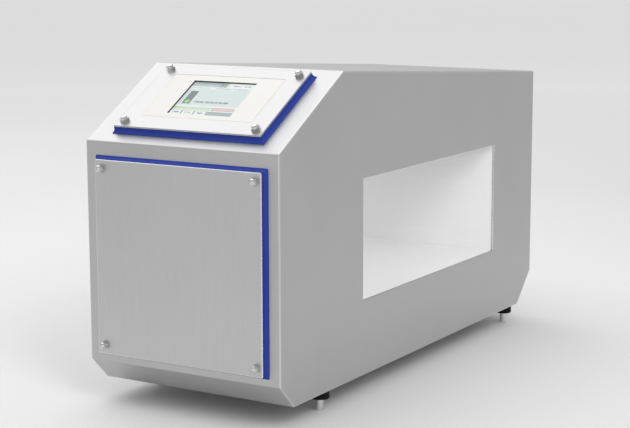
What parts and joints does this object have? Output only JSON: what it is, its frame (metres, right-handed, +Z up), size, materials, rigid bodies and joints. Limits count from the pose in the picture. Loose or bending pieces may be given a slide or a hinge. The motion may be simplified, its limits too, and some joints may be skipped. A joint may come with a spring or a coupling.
{
  "type": "industrial metal detector",
  "caption": "Stainless metal detector for packed food: rectangular product passage, sloped touch-screen console, gasketed service cover, threaded studs under rubber buffers.",
  "frame": {"origin": "ground plane at the ends of the studs, under the middle of the whole machine", "axes": "+X along the product's way through the passage, +Y from the operator's side with cover and console to the rear, +Z up"},
  "size_m": [0.36, 0.95, 0.5421],
  "materials": {
    "satin_steel": "bead-blasted stainless steel, satin",
    "brushed_plate": "fine vertical brushing",
    "polished_steel": "polished stainless steel",
    "zinc_steel": "zinc-plated sheet",
    "blue_seal": "blue silicone, matt",
    "black_rubber": "moulded, matt",
    "grey_seal": "grey silicone, matt",
    "liner_white": "smooth white plastic",
    "frame_plastic": "glass-filled laminate",
    "copper_winding": "enamelled copper, taped",
    "resin": "cast filling compound",
    "cable_jacket": "extruded, satin",
    "brass": "turned brass",
    "board_green": "solder-masked laminate",
    "component_black": "moulded parts",
    "terminal_grey": "moulded polyamide",
    "foil_cream": "satin polyester foil",
    "screen_glass": "touch glass",
    "screen_face": "lit display face",
    "panel_dark": "moulded frame"
  },
  "bodies": {
    "housing": {"front_wrap": "satin_steel", "roof_wrap": "satin_steel", "base_wrap": "satin_steel", "side_panel_left": "satin_steel", "side_panel_right": "satin_steel", "tunnel_liner": "liner_white", "liner_seals": "grey_seal", "coil_former": "frame_plastic", "sender_coil": "copper_winding", "receiver_coil_left": "copper_winding", "receiver_coil_right": "copper_winding", "potting": "resin", "bulkhead": "zinc_steel", "lead_grommets": "black_rubber", "cover_bushes": "zinc_steel", "console_bushes": "zinc_steel", "display_plug": "component_black", "display_lead": "cable_jacket", "mounting_plate": "zinc_steel", "plate_spacers": "brass", "main_board": "board_green", "board_spacers": "brass", "board_parts": "component_black", "signal_shield": "zinc_steel", "power_supply": "zinc_steel", "supply_lead": "cable_jacket", "din_rail": "zinc_steel", "terminals": "terminal_grey", "coil_leads": "cable_jacket", "cable_glands": "polished_steel", "gland_locknuts": "zinc_steel", "blanking_plug": "polished_steel", "earth_stud": "brass", "foot_buffers": "black_rubber", "foot_studs": "polished_steel", "foot_upper_studs": "zinc_steel", "foot_bosses": "zinc_steel"},
    "service_cover": {"cover_plate": "brushed_plate", "cover_gasket": "blue_seal", "cover_screws": "polished_steel"},
    "console": {"console_plate": "brushed_plate", "console_gasket": "blue_seal", "console_screws": "polished_steel", "front_foil": "foil_cream", "touch_glass": "screen_glass", "display_panel": "screen_face", "display_frame": "panel_dark", "display_board": "board_green"}
  },
  "joints": [
    {"name": "service_cover_lift", "type": "slide", "parent": "housing", "child": "service_cover", "axis": [0, -1, 0], "range_m": [0, 0.15]},
    {"name": "console_lift", "type": "slide", "parent": "housing", "child": "console", "axis": [0, -0.5, 0.866], "range_m": [0, 0.12]}
  ]
}
